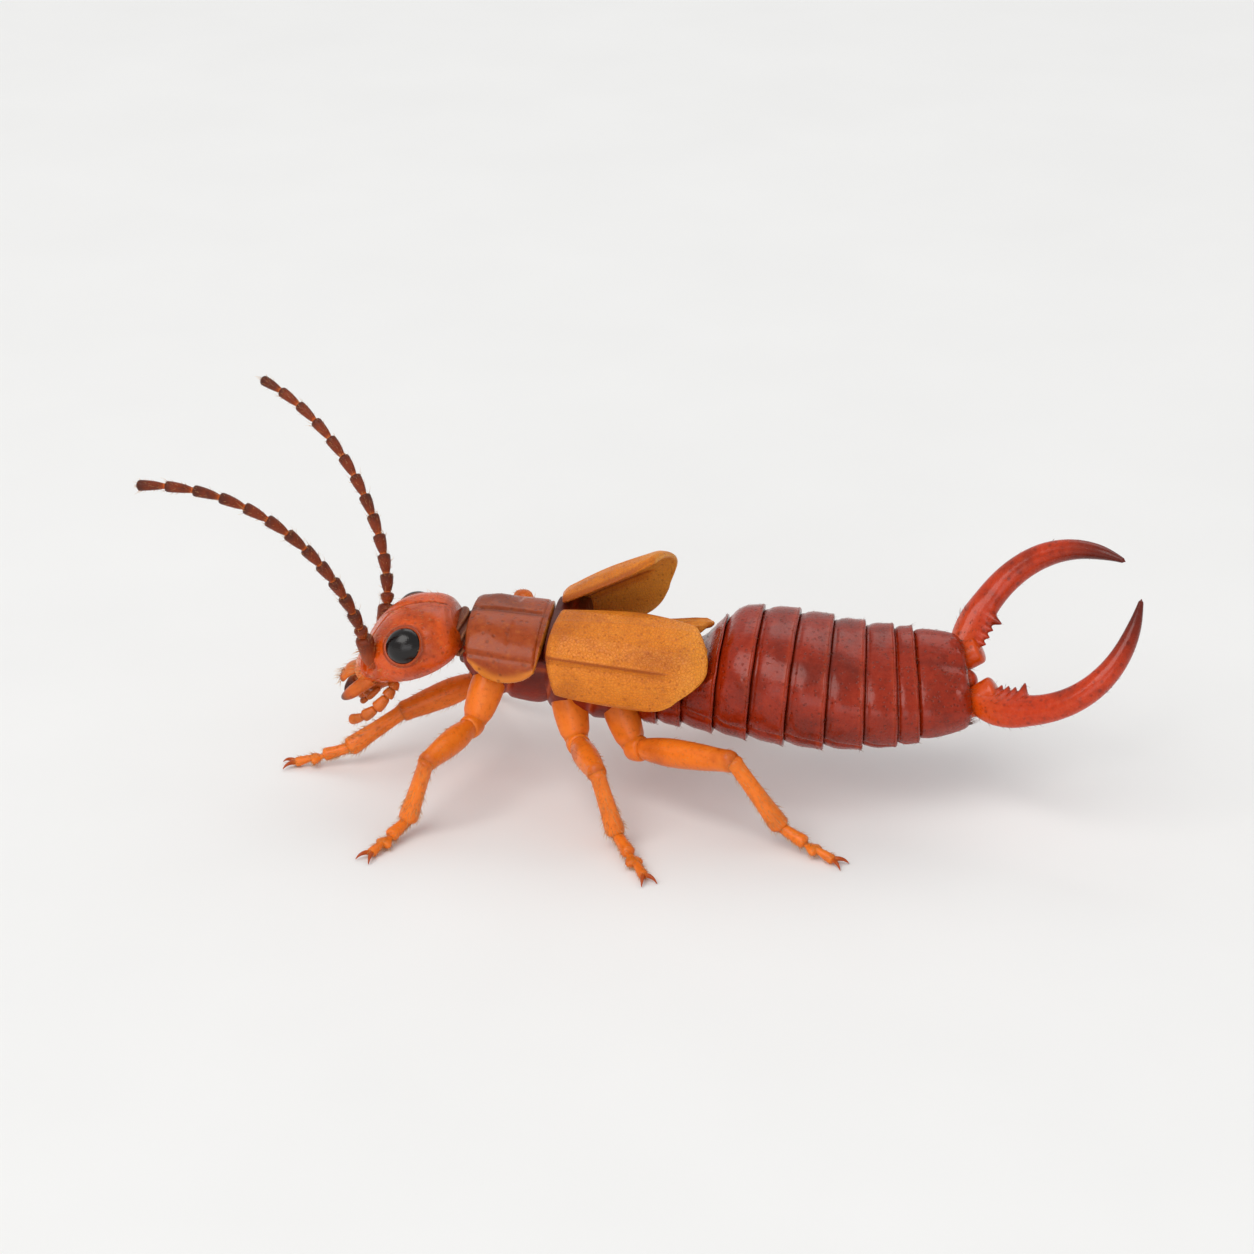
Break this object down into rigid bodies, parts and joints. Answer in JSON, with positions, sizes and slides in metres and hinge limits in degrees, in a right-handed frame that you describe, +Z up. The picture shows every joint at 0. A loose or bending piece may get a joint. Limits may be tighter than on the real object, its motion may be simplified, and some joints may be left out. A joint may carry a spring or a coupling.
{
  "type": "male common earwig, still model",
  "caption": "Male common earwig standing on its legs, with open curved forceps at the tail, long beaded feelers and short wing covers, the right one raised.",
  "frame": {"origin": "on the floor, under the middle of the bounding box", "axes": "+X from the head towards the forceps, +Y towards the animal's right side, +Z up"},
  "size_m": [0.0238, 0.0102, 0.0088],
  "materials": {
    "head": "polished orange-brown cuticle",
    "eye": "glossy black, finely faceted",
    "feeler": "satin brown, finely haired",
    "mouth": "satin amber cuticle",
    "pronotum": "polished brown with paler rims",
    "thorax": "satin amber-brown cuticle",
    "membrane": "soft pale membrane",
    "tegmen": "satin ochre leathery cover, finely pitted",
    "wing": "pale leathery tip of the folded wing",
    "abdomen": "polished dark red-brown plates, finely pitted",
    "forceps": "polished red-brown, darker at the tips",
    "leg": "translucent orange-yellow cuticle"
  },
  "bodies": {
    "root": {"head": "head", "neck": "membrane", "labrum": "mouth", "labium": "mouth", "eye_left": "eye", "eye_right": "eye", "antenna_left": "feeler", "antenna_right": "feeler", "mandible_left": "mouth", "mandible_right": "mouth", "palp_left": "mouth", "palp_right": "mouth", "pronotum": "pronotum", "prothorax": "thorax", "pterothorax": "thorax", "tegmen_left": "tegmen", "tegmen_right": "tegmen", "wing_left": "wing", "wing_right": "wing", "abdomen_01": "abdomen", "abdomen_02": "abdomen", "abdomen_03": "abdomen", "abdomen_04": "abdomen", "abdomen_05": "abdomen", "abdomen_06": "abdomen", "abdomen_07": "abdomen", "abdomen_08": "abdomen", "abdomen_09": "abdomen", "abdomen_10": "abdomen", "pygidium": "forceps", "forceps_left": "forceps", "forceps_right": "forceps", "leg_front_left": "leg", "leg_middle_left": "leg", "leg_hind_left": "leg", "leg_front_right": "leg", "leg_middle_right": "leg", "leg_hind_right": "leg"}
  },
  "joints": []
}
